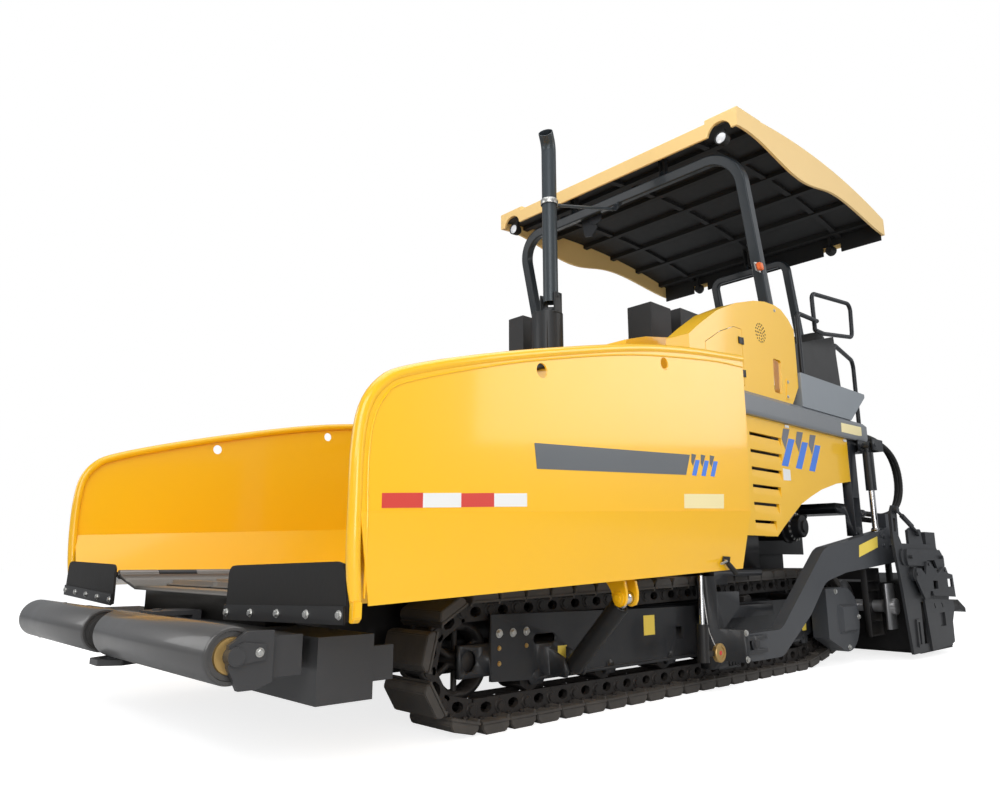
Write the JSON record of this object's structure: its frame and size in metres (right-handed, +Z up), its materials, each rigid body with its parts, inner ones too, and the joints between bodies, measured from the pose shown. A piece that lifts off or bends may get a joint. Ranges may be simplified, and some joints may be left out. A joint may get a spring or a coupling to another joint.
{
  "type": "tracked asphalt paver",
  "caption": "Tracked asphalt paver with folding hopper wings, push rollers, spreading augers, lifting screed on tow arms and a folding canopy.",
  "frame": {"origin": "on the ground, in the middle of the machine's length and width", "axes": "+X forward to the push rollers, +Y to the machine's left, +Z up"},
  "size_m": [6.75, 3.218, 4.066],
  "materials": {
    "yellow_paint": "gloss",
    "grey_paint": "satin",
    "black_paint": "satin",
    "dark_steel": "satin",
    "bright_steel": "polished",
    "track_steel": "matte",
    "rubber": "matte",
    "canopy_shell": "satin",
    "black_plastic": "matte",
    "lamp_plastic": "gloss",
    "seat_cover": "matte"
  },
  "bodies": {
    "chassis": {"main_frame": "black_paint", "front_beam": "yellow_paint", "hopper_floor": "dark_steel", "hopper_back": "yellow_paint", "conveyor": "dark_steel", "track_left": "track_steel", "track_right": "track_steel", "idlers": "track_steel", "sprockets": "track_steel", "track_rollers": "track_steel", "track_frames": "black_paint", "engine_block": "grey_paint", "engine_panels": "yellow_paint", "side_beams": "grey_paint", "platform_deck": "grey_paint", "cowls": "yellow_paint", "hood": "yellow_paint", "muffler": "dark_steel", "hood_boxes": "black_plastic", "step_boxes": "grey_paint", "consoles": "black_plastic", "seats": "seat_cover", "handrails": "black_paint", "drive_guards": "black_paint", "tow_guides": "black_paint", "auger_carrier": "grey_paint", "lift_posts": "grey_paint", "rear_hose_outer": "rubber", "rear_hose_inner": "rubber"},
    "hopper_wing_left": {"wing_left": "yellow_paint", "flap_left": "rubber"},
    "hopper_wing_right": {"wing_right": "yellow_paint", "flap_right": "rubber"},
    "wing_barrel_left": {"wing_cylinder_left": "black_paint"},
    "wing_barrel_right": {"wing_cylinder_right": "black_paint"},
    "wing_piston_left": {"wing_rod_left": "bright_steel"},
    "wing_piston_right": {"wing_rod_right": "bright_steel"},
    "push_bar": {"push_beam": "yellow_paint"},
    "roller_left": {"push_roller_left": "dark_steel"},
    "roller_right": {"push_roller_right": "dark_steel"},
    "spreader_left": {"auger_left": "dark_steel"},
    "spreader_right": {"auger_right": "dark_steel"},
    "screed": {"tow_arms": "grey_paint", "screed_body": "dark_steel", "screed_ends": "grey_paint", "screed_walkway": "black_paint"},
    "lift_barrel_left": {"lift_cylinder_left": "black_paint"},
    "lift_barrel_right": {"lift_cylinder_right": "black_paint"},
    "lift_piston_left": {"lift_rod_left": "bright_steel"},
    "lift_piston_right": {"lift_rod_right": "bright_steel"},
    "door_left": {"cowl_door_left": "yellow_paint"},
    "door_right": {"cowl_door_right": "yellow_paint"},
    "arch_front": {"front_arch": "grey_paint"},
    "arch_rear": {"rear_arch": "grey_paint"},
    "roof": {"canopy": "canopy_shell", "canopy_lining": "black_plastic", "canopy_lamps": "lamp_plastic"},
    "exhaust": {"exhaust_pipe": "dark_steel"},
    "stay": {"exhaust_stay": "dark_steel"}
  },
  "joints": [
    {"name": "wing_left_hinge", "type": "hinge", "parent": "chassis", "child": "hopper_wing_left", "pos_m": [1.55, 0.73, 0.668], "axis": [1, 0, 0], "range_deg": [0, 35]},
    {"name": "wing_barrel_left_swing", "type": "hinge", "parent": "chassis", "child": "wing_barrel_left", "pos_m": [1.55, 1.165, 0.235], "axis": [1, 0, 0], "range_deg": [0, 28]},
    {"name": "wing_piston_left_slide", "type": "slide", "parent": "wing_barrel_left", "child": "wing_piston_left", "axis": [0, 0.7018, 0.7124], "range_m": [0, 0.36]},
    {"name": "wing_right_hinge", "type": "hinge", "parent": "chassis", "child": "hopper_wing_right", "pos_m": [1.55, -0.73, 0.668], "axis": [-1, 0, 0], "range_deg": [0, 35]},
    {"name": "wing_barrel_right_swing", "type": "hinge", "parent": "chassis", "child": "wing_barrel_right", "pos_m": [1.55, -1.165, 0.235], "axis": [-1, 0, 0], "range_deg": [0, 28]},
    {"name": "wing_piston_right_slide", "type": "slide", "parent": "wing_barrel_right", "child": "wing_piston_right", "axis": [0, -0.7018, 0.7124], "range_m": [0, 0.36]},
    {"name": "push_bar_swing", "type": "hinge", "parent": "chassis", "child": "push_bar", "pos_m": [3.085, 0, 0.42], "axis": [0, 0, 1], "range_deg": [-2, 2]},
    {"name": "roller_left_spin", "type": "hinge", "parent": "push_bar", "child": "roller_left", "pos_m": [3.28, 0.65, 0.435], "axis": [0, 1, 0], "continuous": true},
    {"name": "spreader_left_turn", "type": "hinge", "parent": "chassis", "child": "spreader_left", "pos_m": [-1.925, 0.75, 0.4], "axis": [0, 1, 0], "continuous": true},
    {"name": "roller_right_spin", "type": "hinge", "parent": "push_bar", "child": "roller_right", "pos_m": [3.28, -0.65, 0.435], "axis": [0, 1, 0], "continuous": true},
    {"name": "spreader_right_turn", "type": "hinge", "parent": "chassis", "child": "spreader_right", "pos_m": [-1.925, -0.75, 0.4], "axis": [0, 1, 0], "continuous": true},
    {"name": "screed_lift", "type": "hinge", "parent": "chassis", "child": "screed", "pos_m": [0.16, 0, 0.27], "axis": [0, 1, 0], "range_deg": [0, 8]},
    {"name": "lift_barrel_left_swing", "type": "hinge", "parent": "chassis", "child": "lift_barrel_left", "pos_m": [-1.88, 1.3, 1.64], "axis": [0, -1, 0], "range_deg": [0, 16.3]},
    {"name": "lift_piston_left_slide", "type": "slide", "parent": "lift_barrel_left", "child": "lift_piston_left", "axis": [0, 0, 1], "range_m": [0, 0.262]},
    {"name": "door_left_hinge", "type": "hinge", "parent": "chassis", "child": "door_left", "pos_m": [-0.203, 1.2058, 2.08], "axis": [0, 0, 1], "range_deg": [0, 100]},
    {"name": "lift_barrel_right_swing", "type": "hinge", "parent": "chassis", "child": "lift_barrel_right", "pos_m": [-1.88, -1.3, 1.64], "axis": [0, -1, 0], "range_deg": [0, 16.3]},
    {"name": "lift_piston_right_slide", "type": "slide", "parent": "lift_barrel_right", "child": "lift_piston_right", "axis": [0, 0, 1], "range_m": [0, 0.262]},
    {"name": "door_right_hinge", "type": "hinge", "parent": "chassis", "child": "door_right", "pos_m": [-0.203, -1.2058, 2.08], "axis": [0, 0, -1], "range_deg": [0, 100]},
    {"name": "arch_front_fold", "type": "hinge", "parent": "chassis", "child": "arch_front", "pos_m": [-0.735, 0, 2.53], "axis": [0, 1, 0], "range_deg": [0, 45]},
    {"name": "roof_level", "type": "hinge", "parent": "arch_front", "child": "roof", "pos_m": [-0.44, 0, 3.81], "axis": [0, 1, 0], "range_deg": [-45, 0]},
    {"name": "arch_rear_fold", "type": "hinge", "parent": "chassis", "child": "arch_rear", "pos_m": [-2.915, 0, 2.465], "axis": [0, 1, 0], "range_deg": [0, 45]},
    {"name": "exhaust_fold", "type": "hinge", "parent": "chassis", "child": "exhaust", "pos_m": [0.405, 0, 2.665], "axis": [0, 1, 0], "range_deg": [0, 56]},
    {"name": "stay_turn", "type": "hinge", "parent": "exhaust", "child": "stay", "pos_m": [0.317, 0.022, 3.44], "axis": [0, 1, 0], "range_deg": [-84, 0]}
  ],
  "couplings": [
    {"joint": "wing_barrel_left_swing", "follows": "wing_left_hinge", "ratio": 0.7789},
    {"joint": "wing_piston_left_slide", "follows": "wing_left_hinge", "m_per_rad": 0.5879},
    {"joint": "wing_barrel_right_swing", "follows": "wing_right_hinge", "ratio": 0.7789},
    {"joint": "wing_piston_right_slide", "follows": "wing_right_hinge", "m_per_rad": 0.5879},
    {"joint": "lift_barrel_left_swing", "follows": "screed_lift", "ratio": 2.0063},
    {"joint": "lift_piston_left_slide", "follows": "screed_lift", "m_per_rad": 1.8685},
    {"joint": "lift_barrel_right_swing", "follows": "screed_lift", "ratio": 2.0063},
    {"joint": "lift_piston_right_slide", "follows": "screed_lift", "m_per_rad": 1.8685},
    {"joint": "roof_level", "follows": "arch_front_fold", "ratio": -1},
    {"joint": "arch_rear_fold", "follows": "arch_front_fold", "ratio": 1},
    {"joint": "exhaust_fold", "follows": "arch_front_fold", "ratio": 1.2356},
    {"joint": "stay_turn", "follows": "arch_front_fold", "ratio": -1.8473}
  ]
}
